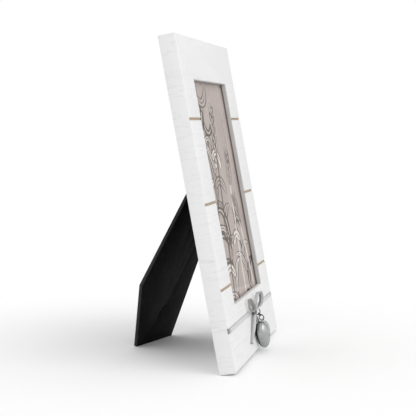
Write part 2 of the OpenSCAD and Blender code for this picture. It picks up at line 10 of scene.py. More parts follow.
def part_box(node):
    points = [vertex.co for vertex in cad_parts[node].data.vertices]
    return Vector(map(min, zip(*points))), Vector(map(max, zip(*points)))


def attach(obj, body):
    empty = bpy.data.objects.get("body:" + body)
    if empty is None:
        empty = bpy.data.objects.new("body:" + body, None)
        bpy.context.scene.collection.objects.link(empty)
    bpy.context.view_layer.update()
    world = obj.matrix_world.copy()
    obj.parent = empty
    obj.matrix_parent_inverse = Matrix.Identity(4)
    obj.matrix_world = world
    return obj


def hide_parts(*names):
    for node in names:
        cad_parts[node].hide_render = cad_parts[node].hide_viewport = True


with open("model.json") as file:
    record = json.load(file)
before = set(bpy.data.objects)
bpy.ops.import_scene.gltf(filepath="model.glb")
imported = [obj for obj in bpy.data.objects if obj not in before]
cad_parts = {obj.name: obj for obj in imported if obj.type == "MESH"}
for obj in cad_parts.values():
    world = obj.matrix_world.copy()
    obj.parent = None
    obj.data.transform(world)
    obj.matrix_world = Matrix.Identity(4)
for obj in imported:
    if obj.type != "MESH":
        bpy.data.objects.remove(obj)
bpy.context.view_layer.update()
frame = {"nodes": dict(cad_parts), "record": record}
cad = frame["nodes"]
mm = 0.001
print("frame loaded,", len(cad), "nodes")


# The frame leans back, so its pieces are drawn in face coordinates, in mm:
# u to the right, v up the frame from its bottom edge, w out of the front face.

restFace = frame["record"]["mounts"][0]
faceUp = -Vector(restFace["axis"])
faceRight = Vector((1, 0, 0))
faceOut = faceRight.cross(faceUp)
frontPlane = max(faceOut.dot(v.co) for v in cad["bottom_rail"].data.vertices)
bottomMiddle = Vector(restFace["pos_m"])
faceOrigin = bottomMiddle + faceOut * (frontPlane - faceOut.dot(bottomMiddle))
faceTurn = Matrix((faceRight, faceUp, faceOut)).transposed()
toWorld = Matrix.Translation(faceOrigin) @ faceTurn.to_4x4() @ Matrix.Scale(mm, 4)
toFace = toWorld.inverted()


def faceBox(node):
    points = [toFace @ v.co for v in cad[node].data.vertices]
    low = Vector(min(p[i] for p in points) for i in range(3))
    high = Vector(max(p[i] for p in points) for i in range(3))
    return low, high


frameLow, frameHigh = faceBox("bottom_rail")
frameTall = faceBox("top_rail")[1].y
frameHalf = frameHigh.x
frameBack = frameLow.z
stileLow, stileHigh = faceBox("right_stile")
windowHalf, windowLow, windowTop = stileLow.x, stileLow.y, stileHigh.y
lipBack = faceBox("glass_pane")[1].z
ribbonLow, ribbonHigh = faceBox("ribbon_right_run")
knotLow, knotHigh = faceBox("bow_knot")
slotMargin = 0.3  # how much wider the slot is than the ribbon, on each side
slotLow = ribbonLow.y - slotMargin
slotHigh = ribbonHigh.y + slotMargin
slotFloor = -1.4


# Small tools for meshes

weldWithin = 1e-6  # points nearer than this, in m, become one
flatWithin = 0.4  # faces that turn by less than this, in degrees, become one


def ease(x, low, high):
    t = min(1.0, max(0.0, (x - low) / (high - low)))
    return t * t * (3 - 2 * t)


def pieceName(node):
    first, *others = node.split("_")
    return first + "".join(word.title() for word in others)


def copyOf(node):
    bm = bmesh.new()
    bm.from_mesh(cad[node].data)
    bmesh.ops.remove_doubles(bm, verts=bm.verts, dist=weldWithin)
    bmesh.ops.dissolve_limit(bm, angle_limit=radians(flatWithin), verts=bm.verts, edges=bm.edges)
    return bm


def softenEdges(bm, width, chosen=None, sharp=60):
    edges = [e for e in bm.edges if e.calc_face_angle(0) > radians(sharp)
             and (chosen is None or chosen(*(toFace @ v.co for v in e.verts)))]
    bmesh.ops.bevel(bm, geom=edges, offset=width * mm, offset_type="OFFSET", segments=2,
                    profile=0.5, affect="EDGES", material=-1, clamp_overlap=True)
    return bm


def faceOutward(bm):
    bmesh.ops.recalc_face_normals(bm, faces=bm.faces)


def addObject(name, data):
    made = bpy.data.objects.new(name, data)
    bpy.context.scene.collection.objects.link(made)
    return made


def meshObject(name, bm, materials):
    mesh = bpy.data.meshes.new(name)
    bm.to_mesh(mesh)
    bm.free()
    for material in materials:
        mesh.materials.append(material)
    return addObject(name, mesh)


def makePiece(name, bm, materials, body, replaced=(), smoothAngle=35):
    for face in bm.faces:
        face.smooth = True
    for edge in bm.edges:
        edge.smooth = edge.calc_face_angle(0) < radians(smoothAngle)
    piece = meshObject(name, bm, materials)
    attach(piece, body)
    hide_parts(*replaced)
    return piece


def nodePiece(node, bm, materials, body, smoothAngle=35):
    return makePiece(pieceName(node), bm, materials, body, [node], smoothAngle)


# Small tools for shader nodes

maskLow, maskHigh = 0.3, 0.7  # the range in which nearly all of a noise lies


def feed(tree, socket, value):
    if isinstance(value, bpy.types.NodeSocket):
        tree.links.new(value, socket)
    else:
        socket.default_value = value


def feedAll(tree, node, inputs):
    for key, value in inputs.items():
        feed(tree, node.inputs[key], value)


# Gives the outputs of the new node
def addNode(tree, kind, inputs=None, **settings):
    made = tree.nodes.new("ShaderNode" + kind)
    for name, value in settings.items():
        setattr(made, name, value)
    feedAll(tree, made, inputs or {})
    return made.outputs


def maths(tree, operation, *values):
    return addNode(tree, "Math", dict(enumerate(values)), operation=operation)[0]


def product(tree, first, *others):
    for other in others:
        first = maths(tree, "MULTIPLY", first, other)
    return first


def remap(tree, value, low, high, newLow=0.0, newHigh=1.0):
    inputs = {0: value, 1: low, 2: high, 3: newLow, 4: newHigh}
    return addNode(tree, "MapRange", inputs, interpolation_type="SMOOTHSTEP")[0]


# A noise made into a value between two others
def spread(tree, mask, lowest, highest):
    return remap(tree, mask, maskLow, maskHigh, lowest, highest)


def mix(tree, amount, first, second):
    return addNode(tree, "Mix", {0: amount, 6: first, 7: second}, data_type="RGBA")[2]


def split(tree, vector):
    return addNode(tree, "SeparateXYZ", {0: vector})


def join(tree, x, y, z):
    return addNode(tree, "CombineXYZ", {0: x, 1: y, 2: z})[0]


def stretched(tree, vector, scale):
    return addNode(tree, "Mapping", {"Vector": vector, "Scale": scale})[0]


def noise(tree, vector, detail, scale=1.0, roughness=0.55):
    inputs = {"Vector": vector, "Scale": scale, "Detail": detail, "Roughness": roughness}
    return addNode(tree, "TexNoise", inputs)["Fac"]


def facePlace(tree):
    objectPlace = addNode(tree, "TexCoord")["Object"]
    inputs = {"Vector": objectPlace, "Location": faceOrigin,
              "Rotation": faceTurn.to_euler(), "Scale": (mm, mm, mm)}
    return addNode(tree, "Mapping", inputs, vector_type="TEXTURE")[0]


def bump(tree, height, distance, strength=1.0):
    inputs = {"Height": height, "Distance": distance * mm, "Strength": strength}
    return addNode(tree, "Bump", inputs)[0]


def attribute(tree, label):
    return addNode(tree, "Attribute", attribute_name=label)["Fac"]


# The light and the dark part of a tone from -1 to 1 that is kept in the mesh
def toneParts(tree, label):
    tone = attribute(tree, label)
    return maths(tree, "MAXIMUM", tone, 0.0), maths(tree, "MAXIMUM", product(tree, tone, -1.0), 0.0)


def newMaterial(name):
    material = bpy.data.materials.new(name)
    material.use_nodes = True
    return material, material.node_tree, material.node_tree.nodes["Principled BSDF"]


def putOut(tree, surface):
    feed(tree, tree.nodes["Material Output"].inputs["Surface"], surface)


def finish(tree, shader, colour, roughness, normal, metallic=0.0, specular=0.5):
    feedAll(tree, shader, {"Base Color": colour, "Roughness": roughness, "Normal": normal,
                           "Metallic": metallic, "Specular IOR Level": specular})


def newGroup(name, inputs, outputs):
    group = bpy.data.node_groups.new(name, "ShaderNodeTree")
    kinds = {"vector": "NodeSocketVector", "value": "NodeSocketFloat"}
    for side, sockets in (("INPUT", inputs), ("OUTPUT", outputs)):
        for label, kind in sockets.items():
            group.interface.new_socket(name=label, in_out=side, socket_type=kinds[kind])
    source = group.nodes.new("NodeGroupInput").outputs
    sink = group.nodes.new("NodeGroupOutput").inputs
    return group, source, sink


def useGroup(tree, group, **values):
    return addNode(tree, "Group", values, node_tree=group)


# Streaks that run along x, such as brush marks, wood grain and the polish of steel

streakValues = {
    "drift": (0.018, 0.03, 0.07),  # scale of the noise that bends them
    "deep": 5.0,  # how much faster they change with depth than along
    "fine": (1.5, 3.3, 1.4),  # scale of the hairs between the streaks
    "hairs": (0.58, 0.72),
    "broken": (1.7, 0.25, 1.0),  # scale of the gaps in the hairs
    "gaps": (0.42, 0.62),
}


def streakGroup():
    own = streakValues
    inputs = {"Place": "vector", "Along": "value", "Across": "value", "Wander": "value"}
    group, source, sink = newGroup("streaks", inputs, {"Streaks": "value", "Hairs": "value"})
    x, y, z = split(group, source["Place"])
    drift = noise(group, stretched(group, source["Place"], own["drift"]), detail=2)
    shift = product(group, maths(group, "SUBTRACT", drift, 0.5), source["Wander"])
    along = product(group, x, source["Along"])
    across = product(group, maths(group, "ADD", y, shift), source["Across"])
    deep = product(group, z, product(group, source["Along"], own["deep"]))
    wide = join(group, along, across, deep)
    feed(group, sink["Streaks"], noise(group, wide, detail=6, roughness=0.62))
    fine = noise(group, stretched(group, wide, own["fine"]), detail=3, roughness=0.5)
    hairs = remap(group, fine, *own["hairs"])
    broken = noise(group, stretched(group, wide, own["broken"]), detail=2)
    feed(group, sink["Hairs"], product(group, hairs, remap(group, broken, *own["gaps"])))
    return group


# Soft patches and a fine tooth, for board, paper and worn metal
def mottleGroup():
    inputs = {"Place": "vector", "Patch": "value", "Tooth": "value"}
    group, source, sink = newGroup("mottle", inputs, {"Patches": "value", "Grit": "value"})
    feed(group, sink["Patches"], noise(group, source["Place"], detail=3, scale=source["Patch"]))
    grit = noise(group, source["Place"], detail=5, scale=source["Tooth"], roughness=0.7)
    feed(group, sink["Grit"], grit)
    return group


streaks = streakGroup()
mottle = mottleGroup()


def mottledMaterial(name, patch, tooth):
    material, tree, shader = newMaterial(name)
    place = facePlace(tree)
    tone = useGroup(tree, mottle, Place=place, Patch=patch, Tooth=tooth)
    return material, tree, shader, place, tone


# White wash over wood, with the bare wood showing in the grooves, painted shade in the window's
# reveal and in the notches of the ribbon's slot, and painted light on the reveal's lower side

washValues = {
    "white": (0.885, 0.885, 0.885, 1),
    "thin": (0.70, 0.70, 0.705, 1),
    "line": (0.50, 0.50, 0.51, 1),
    "bare": (0.47, 0.375, 0.275, 1), "bareLight": (0.62, 0.52, 0.40, 1),
    # painted shade in the window's reveal, painted light on its lower side and painted shadow next
    # to the glass
    "reveal": (0.575, 0.57, 0.565, 1),
    "lowReveal": (0.74, 0.735, 0.73, 1),
    "shadow": (0.17, 0.165, 0.16, 1),
    # painted shade in the notches at the ends of the ribbon's slot
    "notch": (0.55, 0.55, 0.55, 1),
    "archLeft": 12.0,  # how far left of the middle the top rail's grain arches
    "archBend": 0.0055,
    "archRise": (-1, 6),  # where the arches start and are full, over the window's top edge
    "worn": (0.50, 0.72, 0.0, 0.3),
    "clusters": (0.42, 0.6, 0.25, 1.0),
    "lines": 0.85,
    "grooves": [187.0, 124.0, 61.0],
    "grooveHalf": 1.05, "grooveDeep": 0.95,
    "revealMargin": 0.6,  # how far the reveal reaches into the wood around the window
    "revealDepth": (-0.4, -1.4),
    "lowSide": (0.3, -0.05),  # where the lower side starts, over the window's bottom edge
    "glassShade": (0.85, 0.25),  # where the shade at the glass starts, in front of it
    "notchIn": 0.65, "notchHalf": 0.62,
    "roughness": (0.5, 0.66),
    "specular": 0.25,
    "bump": (0.22, 0.7),
    "soften": 0.22,
    "sharp": 35,
}


def band(tree, value, middle, half, soft=0.04):
    away = maths(tree, "ABSOLUTE", maths(tree, "SUBTRACT", value, middle))
    return remap(tree, away, half + soft, half - soft)


def anyGroove(tree, v, w):
    own = washValues
    found = 0.0
    for middle in own["grooves"]:
        found = maths(tree, "MAXIMUM", band(tree, v, middle, own["grooveHalf"]), found)
    front = remap(tree, w, -own["grooveDeep"] - 0.06, -own["grooveDeep"] + 0.02)
    return product(tree, found, front, remap(tree, w, -0.03, -0.1))


# Painted shade in the window's reveal, deepest next to the glass, and painted light on its lower
# side
def windowReveal(tree, u, v, w):
    own = washValues
    margin = own["revealMargin"]
    middle = (windowLow + windowTop) / 2
    insideU = band(tree, u, 0.0, windowHalf + margin, 0.1)
    insideV = band(tree, v, middle, windowTop - middle + margin, 0.1)
    inside = product(tree, insideU, insideV, remap(tree, w, *own["revealDepth"]))
    lowSide = remap(tree, v, *(windowLow + h for h in own["lowSide"]))
    side = mix(tree, lowSide, own["reveal"], own["lowReveal"])
    nearGlass = remap(tree, w, *(lipBack + h for h in own["glassShade"]))
    return inside, mix(tree, nearGlass, side, own["shadow"])


# The ends of the slot under the ribbon, where it goes over the frame's sides, get painted shade
def slotNotch(tree, u, v, w):
    sunk = band(tree, w, slotFloor / 2 - 0.08, -slotFloor / 2)
    level = band(tree, v, (slotLow + slotHigh) / 2, (slotHigh - slotLow) / 2 + 0.05, 0.02)
    far = band(tree, maths(tree, "ABSOLUTE", u), frameHalf - washValues["notchIn"],
               washValues["notchHalf"], 0.03)
    return product(tree, sunk, level, far)


def whiteWash():
    own = washValues
    material, tree, shader = newMaterial("white wash")
    u, v, w = split(tree, facePlace(tree))
    across = maths(tree, "ADD", u, own["archLeft"])
    arch = product(tree, maths(tree, "POWER", across, 2.0), own["archBend"])
    high = remap(tree, v, *(windowTop + h for h in own["archRise"]))
    curved = join(tree, u, maths(tree, "ADD", v, product(tree, arch, high)), w)
    wide = useGroup(tree, streaks, Place=curved, Along=0.009, Across=0.42, Wander=3.0)
    fine = useGroup(tree, streaks, Place=curved, Along=0.02, Across=0.95, Wander=1.6)
    worn = remap(tree, wide["Streaks"], *own["worn"])
    colour = mix(tree, worn, own["white"], own["thin"])
    clusters = remap(tree, wide["Streaks"], *own["clusters"])
    lines = product(tree, fine["Hairs"], clusters, own["lines"])
    colour = mix(tree, lines, colour, own["line"])
    grooves = anyGroove(tree, v, w)
    bareTone = mix(tree, fine["Streaks"], own["bare"], own["bareLight"])
    colour = mix(tree, grooves, colour, bareTone)
    # Painted shade and painted light in the window's reveal
    inside, side = windowReveal(tree, u, v, w)
    inside = product(tree, inside, maths(tree, "SUBTRACT", 1.0, grooves))
    colour = mix(tree, inside, colour, side)
    # Painted shade in the notches at the ends of the ribbon's slot
    colour = mix(tree, slotNotch(tree, u, v, w), colour, own["notch"])
    relief = maths(tree, "ADD", product(tree, fine["Streaks"], 0.5), wide["Streaks"])
    relief = maths(tree, "SUBTRACT", relief, product(tree, fine["Hairs"], 0.4))
    finish(tree, shader, colour, spread(tree, wide["Streaks"], *own["roughness"]),
           bump(tree, relief, *own["bump"]), specular=own["specular"])
    return material


wash = whiteWash()


def woodPieces():
    grooveSide = 1.0  # half the width of a groove
    near = 0.01

    def onGroove(p):
        away = min(abs(p.y - middle) for middle in washValues["grooves"])
        return abs(away - grooveSide) < 2 * near and p.z > -0.5

    def chosen(a, b):
        if onGroove(a) and onGroove(b):
            return True
        outer = all(abs(abs(p.x) - frameHalf) < near for p in (a, b))
        ends = all(p.y < near or p.y > frameTall - near for p in (a, b))
        return all(p.z < frameBack + near for p in (a, b)) and (outer or ends)

    for node in ("top_rail", "bottom_rail", "left_stile", "right_stile"):
        bm = softenEdges(copyOf(node), washValues["soften"], chosen, washValues["sharp"])
        nodePiece(node, bm, [wash], "frame", 30)


woodPieces()
print("rails and stiles made")


# Bare wood, for the dowels in the corner joints

woodValues = {
    "early": (0.36, 0.24, 0.13, 1),
    "late": (0.62, 0.46, 0.29, 1),
    "pores": (0.25, 0.15, 0.08, 1),
}


def bareWood():
    own = woodValues
    material, tree, shader = newMaterial("bare wood")
    quarter = (0, 0, radians(90))
    turned = addNode(tree, "Mapping", {"Vector": facePlace(tree), "Rotation": quarter})[0]
    grain = useGroup(tree, streaks, Place=turned, Along=0.05, Across=1.4, Wander=2.0)
    colour = mix(tree, grain["Streaks"], own["early"], own["late"])
    colour = mix(tree, grain["Hairs"], colour, own["pores"])
    finish(tree, shader, colour, 0.7, bump(tree, grain["Streaks"], 0.1))
    return material


# Clear glass that hardly mirrors and lets the light of the room through to the print

glassValues = {
    "body": {"Base Color": (0.985, 0.995, 0.99, 1), "Roughness": 0.0, "IOR": 1.05,
             "Transmission Weight": 1.0},
    "tint": (0.97, 0.98, 0.975, 1),
}


def clearGlass():
    material, tree, shader = newMaterial("clear glass")
    feedAll(tree, shader, glassValues["body"])
    path = addNode(tree, "LightPath")
    through = maths(tree, "MAXIMUM", path["Is Shadow Ray"], path["Is Diffuse Ray"])
    clear = addNode(tree, "BsdfTransparent", {"Color": glassValues["tint"]})[0]
    putOut(tree, addNode(tree, "MixShader", {0: through, 1: shader.outputs[0], 2: clear})[0])
    return material


# The print: taupe paper with reeds and seed heads in a light and a dark ink

printValues = {
    "cell": 0.6,  # distance between the points that hold the ink
    "behindGlass": 0.03,
    "paper": (0.576, 0.474, 0.444, 1), "paperShade": (0.511, 0.416, 0.390, 1),
    "lightInk": (0.92, 0.85, 0.82, 1),
    "darkInk": (0.065, 0.040, 0.029, 1),
    "soft": 0.45,
    "step": 0.4,  # distance between the points of a stroke
    "nib": 2.3,  # how much wider than tall the pen is
    "seed": 7,
    "leafTones": (0.95, 0.8, 0.1, -0.85), "leafSize": (0.8, 1.1),
    "leafTurn": (5, 60),  # degrees between a leaf's root and its stem
    "leafBend": (60, 150), "leafWide": (1.4, 3.0),
    "leafLine": 1.1,  # width of the dark line around a leaf
    "grainPairs": 5,  # pairs of grains in a seed head
    "grainFrom": 0.76,  # share of the stem below the head, and share that carries it
    "grainShare": 0.23, "grainTurn": 48, "grainLength": 12,
    "grainShorter": 0.8,  # how much shorter each pair is than the one below
    "grainBend": 24, "grainWide": 1.2, "grainLine": 0.7,
}

# Tall plants with long arching leaves: root, angle, length, bend, longest leaf,
# distance between leaves
plants = [
    ((-64, 30), 82, 190, 12, 60, 16.0),
    ((-50, 228), -52, 86, -50, 42, 11.0),
    ((40, 26), 98, 92, 14, 42, 14.0),
    ((-14, 30), 96, 92, -8, 50, 13.0),
    ((-62, 88), 34, 100, 58, 56, 11.0),
]

# Reeds with a seed head: root, angle, length, bend
reeds = [
    ((-34, 30), 78, 176, -2), ((14, 30), 88, 138, -14), ((54, 30), 98, 98, 12),
]


def printPaper():
    own = printValues
    material, tree, shader, _, tone = mottledMaterial("print paper", 0.03, 1.2)
    patches = remap(tree, tone["Patches"], 0.35, 0.65)
    light, dark = toneParts(tree, "ink")
    colour = mix(tree, patches, own["paper"], own["paperShade"])
    colour = mix(tree, light, colour, own["lightInk"])
    colour = mix(tree, dark, colour, own["darkInk"])
    finish(tree, shader, colour, 0.55, bump(tree, tone["Grit"], 0.02, 0.4), specular=0.1)
    return material


# A stroke is a list of (u, v, half width). A blade bends evenly and is widest in the middle.
def blade(root, angle, length, bend, wide, taper):
    points = []
    count = max(2, int(length / printValues["step"]))
    u, v = root
    for i in range(count + 1):
        t = i / count
        heading = radians(angle + bend * t)
        swell = sin(pi * min(1.0, 0.12 + 0.88 * t)) ** taper
        points.append((u, v, wide * (0.25 + 0.75 * swell)))
        u += cos(heading) * length / count
        v += sin(heading) * length / count
    return points


def headingAt(stem, i):
    return degrees(atan2(stem[i + 1][1] - stem[i][1], stem[i + 1][0] - stem[i][0]))


# The strokes in the order in which they are laid down, each with its tone: 1 is light, -1 is dark
def drawing():
    own = printValues
    pick = random.Random(own["seed"])
    strokes = []

    def leaf(root, angle, length, bend, wide, line):
        tone = pick.choice(own["leafTones"])
        vein = -0.9 if tone > 0 else 0.7
        strokes.append((blade(root, angle, length, bend, wide + line, 0.7), -1.0))
        strokes.append((blade(root, angle, length, bend, wide, 0.8), tone))
        strokes.append((blade(root, angle, length * 0.8, bend * 0.8, 0.5, 0.3), vein))

    for root, angle, length, bend, longest, gap in plants:
        stem = blade(root, angle, length, bend, 1.0, 0.3)
        strokes.append((stem, -0.9))
        for k in range(int(length / gap)):
            i = min(len(stem) - 2, int((k + 0.6) * gap / own["step"]))
            side = 1 if k % 2 else -1
            size = longest * (1 - 0.45 * i / len(stem)) * pick.uniform(*own["leafSize"])
            start = headingAt(stem, i) - side * pick.uniform(*own["leafTurn"])
            curl = -side * pick.uniform(*own["leafBend"])
            leaf(stem[i][:2], start, size, curl, pick.uniform(*own["leafWide"]), own["leafLine"])
    for root, angle, length, bend in reeds:
        stem = blade(root, angle, length, bend, 0.8, 0.3)
        strokes.append((stem, pick.choice((0.9, -0.9))))
        for k in range(own["grainPairs"]):
            i = int(len(stem) * (own["grainFrom"] + own["grainShare"] * k / own["grainPairs"]))
            size = own["grainLength"] - own["grainShorter"] * k
            for side in (-1, 1):
                leaf(stem[i][:2], headingAt(stem, i) + side * own["grainTurn"], size,
                     -side * own["grainBend"], own["grainWide"], own["grainLine"])
    return strokes


# Each stroke covers what lies under it
def inkOn(columns, rows, low, cell, strokes):
    ink = [0.0] * (columns * rows)
    soft, nib = printValues["soft"], printValues["nib"]

    def reached(middle, reach, start, step, count):
        first = ceil((middle - reach - start) / step)
        last = int((middle + reach - start) / step)
        return range(max(0, first), min(count - 1, last) + 1)

    for stroke, tone in strokes:
        covered = {}
        for u, v, half in stroke:
            reach = half + soft
            for j in reached(v, reach, low.y, cell.y, rows):
                for i in reached(u, reach * nib, low.x, cell.x, columns):
                    away = hypot((low.x + i * cell.x - u) / nib, low.y + j * cell.y - v)
                    value = 1 - ease(away, half - soft, reach)
                    place = j * columns + i
                    if value > covered.get(place, 0.0):
                        covered[place] = value
        for place, value in covered.items():
            ink[place] += (tone - ink[place]) * value
    return ink


def printSheet():
    low, high = faceBox("photo_print")
    front = high.z - printValues["behindGlass"]
    size = high - low
    across = round(size.x / printValues["cell"])
    upwards = round(size.y / printValues["cell"])
    bm = bmesh.new()
    bmesh.ops.create_grid(bm, x_segments=across, y_segments=upwards, size=0.5)
    for vert in bm.verts:
        vert.co = toWorld @ Vector((low.x + (vert.co.x + 0.5) * size.x,
                                    low.y + (vert.co.y + 0.5) * size.y, front))
    cell = Vector((size.x / across, size.y / upwards))
    layer = bm.verts.layers.float.new("ink")
    for vert, value in zip(bm.verts, inkOn(across + 1, upwards + 1, low, cell, drawing())):
        vert[layer] = value
    rim = bmesh.ops.extrude_edge_only(bm, edges=[e for e in bm.edges if e.is_boundary])
    outer = [g for g in rim["geom"] if isinstance(g, bmesh.types.BMVert)]
    bmesh.ops.translate(bm, verts=outer, vec=faceOut * (low.z - front) * mm)
    bmesh.ops.holes_fill(bm, edges=[e for e in bm.edges if e.is_boundary], sides=0)
    makePiece("printSheet", bm, [printPaper()], "frame", ["photo_print"])


# Kraft board, for the corrugated pad

kraftValues = {
    "dark": (0.36, 0.24, 0.13, 1),
    "light": (0.46, 0.32, 0.19, 1),
    "fibres": (0.25, 0.16, 0.08, 1),
}


def kraftBoard():
    own = kraftValues
    material, tree, shader, place, tone = mottledMaterial("kraft board", 0.08, 1.6)
    fibre = useGroup(tree, streaks, Place=place, Along=0.08, Across=0.5, Wander=3.0)
    colour = mix(tree, tone["Patches"], own["dark"], own["light"])
    colour = mix(tree, product(tree, fibre["Hairs"], 0.4), colour, own["fibres"])
    finish(tree, shader, colour, 0.85, bump(tree, tone["Grit"], 0.08))
    return material


# Black board: pressed paper with a fine pebble, paler where its edges are cut

boardValues = {
    "black": (0.0098, 0.0098, 0.0101, 1),
    "scuff": (0.021, 0.021, 0.0215, 1),
    "cut": (0.042, 0.043, 0.045, 1),
    "scuffs": (0.45, 0.75, 0.0, 0.7),
    "roughness": (0.6, 0.8),
    "specular": 0.06,
    "wall": 0.9,  # how nearly a wall may face the way the board faces
    "beyond": 0.4,  # how far the board may reach past a wall that is its outline
}


def blackBoard(name, ground):
    own = boardValues
    material, tree, shader, place, tone = mottledMaterial(name, 0.045, 0.9)
    patches = remap(tree, tone["Patches"], *own["scuffs"])
    pebble = addNode(tree, "TexVoronoi", {"Vector": place, "Scale": 1.1}, feature="SMOOTH_F1")
    relief = maths(tree, "ADD", pebble["Distance"], product(tree, tone["Grit"], 0.6))
    colour = mix(tree, patches, own[ground], own["scuff"])
    finish(tree, shader, colour, spread(tree, tone["Grit"], *own["roughness"]),
           bump(tree, relief, 0.1, 0.5), specular=own["specular"])
    return material


# Plated steel, for the hinge, the buttons, the screws and the rivets

steelValues = {
    "dark": (0.46, 0.47, 0.48, 1),
    "bright": (0.62, 0.63, 0.64, 1),
    "roughness": (0.24, 0.42),
    "buttonEdge": 0.22,
    "leafEdge": 0.08,
}


def platedSteel():
    own = steelValues
    material, tree, shader, place, tone = mottledMaterial("plated steel", 0.2, 2.5)
    polish = useGroup(tree, streaks, Place=place, Along=0.12, Across=5.0, Wander=1.0)
    colour = mix(tree, tone["Patches"], own["dark"], own["bright"])
    finish(tree, shader, colour, spread(tree, tone["Grit"], *own["roughness"]),
           bump(tree, polish["Streaks"], 0.02, 0.35), metallic=1.0)
    return material


board = blackBoard("black board", "black")
boardEdge = blackBoard("cut edge of black board", "cut")
steel = platedSteel()


def useMaterial(node, material):
    cad[node].data.materials.clear()
    cad[node].data.materials.append(material)


def layersAndHardware():
    useMaterial("corner_dowels", bareWood())
    useMaterial("glass_pane", clearGlass())
    useMaterial("corrugated_pad", kraftBoard())
    for node in ("turn_button_screws", "hinge_pin", "board_rivets", "leg_rivets"):
        useMaterial(node, steel)
    buttons = [n for n in cad if n.startswith("turn_button") and n != "turn_button_screws"]
    pressed = [(node, node, steelValues["buttonEdge"]) for node in buttons]
    pressed += [("hinge_board_leaf", "frame", steelValues["leafEdge"]),
                ("hinge_leg_leaf", "leg", steelValues["leafEdge"])]
    for node, body, width in pressed:
        nodePiece(node, softenEdges(copyOf(node), width), [steel], body)


# A board whose cut outline has a material of its own. A wall lies on the outline
# if nothing stands beyond it.
def boardPiece(node, body, width):
    bm = copyOf(node)
    flat = max(bm.faces, key=lambda f: f.calc_area()).normal.copy()
    bm = softenEdges(bm, width)
    bm.normal_update()
    for face in bm.faces:
        wall = abs(face.normal.dot(flat)) < boardValues["wall"]
        beyond = max((v.co - face.verts[0].co).dot(face.normal) for v in bm.verts) if wall else 0.0
        face.material_index = 1 if wall and beyond < boardValues["beyond"] * mm else 0
    nodePiece(node, bm, [board, boardEdge], body)


printSheet()
print("print drawn")
layersAndHardware()
boardPiece("back_board", "frame", 0.2)
boardPiece("easel_leg", "leg", 0.3)
print("layers, hardware and easel made")


# Satin ribbon. Each length is a grid bent to shape by a formula of its share along, s from 0 to 1,
# and its share across, q from -1 to 1.

ribbonValues = {
    "thick": 0.26,
    "base": (0.60, 0.595, 0.59, 1),
    "shade": (0.47, 0.465, 0.46, 1),
    # the back of the ribbon is duller, and painted much darker as shade inside the loops
    "underBase": (0.21, 0.21, 0.21, 1), "underShade": (0.15, 0.15, 0.15, 1),
    # the colours of painted light and painted shade, which the tone mixes in
    "pale": (0.88, 0.88, 0.875, 1),
    "dark": (0.11, 0.11, 0.11, 1),
    "threads": 3.2,  # threads to a mm
    "lustre": (0.12, 2.2, 1),
    "selvage": (1.85, 2.2, 0.0, 0.3),
    "roughness": (0.32, 0.48),
}


# Painted light and shade: the tone of a point, from -1 for painted shade in a fold to 1 for painted
# light on its lit side, is kept in its mesh
def satin(name, base, shade, layer):
    own = ribbonValues
    material, tree, shader = newMaterial(name)
    uv = addNode(tree, "UVMap", uv_map="ribbon")[0]
    along, across, _ = split(tree, uv)
    weft, warp = (maths(tree, "SINE", product(tree, way, own["threads"] * 2 * pi))
                  for way in (along, across))
    lustre = noise(tree, stretched(tree, uv, own["lustre"]), detail=3)
    colour = mix(tree, spread(tree, lustre, 0.0, 0.6), base, shade)
    selvage = remap(tree, maths(tree, "ABSOLUTE", across), *own["selvage"])
    colour = mix(tree, selvage, colour, shade)
    # Painted light and painted shade from the tone kept in the mesh
    light, dark = toneParts(tree, layer)
    colour = mix(tree, light, colour, own["pale"])
    colour = mix(tree, dark, colour, own["dark"])
    feedAll(tree, shader, {"Sheen Weight": 0.15, "Sheen Roughness": 0.4})
    finish(tree, shader, colour, spread(tree, lustre, *own["roughness"]),
           bump(tree, product(tree, weft, warp), 0.02, 0.5))
    return material


satinFront = satin("satin ribbon", ribbonValues["base"], ribbonValues["shade"], "tone")
# The back of the ribbon is duller, and is painted much darker, as painted shade inside the loops
satinBackInShade = satin("back of the ribbon", ribbonValues["underBase"], ribbonValues["underShade"],
                  "backTone")


# The second material goes on the side that the faces turn away from
def thicken(piece, thickness):
    shell = piece.modifiers.new("thickness", "SOLIDIFY")
    shell.thickness = thickness * mm
    shell.offset = 0
    shell.material_offset = 1
    smooth = piece.modifiers.new("smooth", "SUBSURF")
    smooth.levels = smooth.render_levels = 1


def ribbonStrip(node, shape, tones, length, width, along, across, turned):
    bm = bmesh.new()
    uv = bm.loops.layers.uv.new("ribbon")
    bmesh.ops.create_grid(bm, x_segments=along, y_segments=across, size=0.5)
    bm.verts.layers.float.new("tone")
    bm.verts.layers.float.new("backTone")
    layers = [bm.verts.layers.float[label] for label in ("tone", "backTone")]
    for face in bm.faces:
        for loop in face.loops:
            loop[uv].uv = ((loop.vert.co.x + 0.5) * length, loop.vert.co.y * width)
    for vert in bm.verts:
        s, q = vert.co.x + 0.5, vert.co.y * 2
        for layer, tone in zip(layers, tones):
            vert[layer] = tone(s, q)
        vert.co = toWorld @ Vector(shape(s, q))
    if turned:
        bmesh.ops.reverse_faces(bm, faces=bm.faces)
    satins = [satinFront, satinBackInShade]
    piece = nodePiece(node, bm, satins, "frame", 180)
    thicken(piece, ribbonValues["thick"])


# A node's name on one side, and that side's place in a pair of values
def sided(pattern, side):
    return pattern.format("right" if side > 0 else "left"), 1 if side > 0 else 0


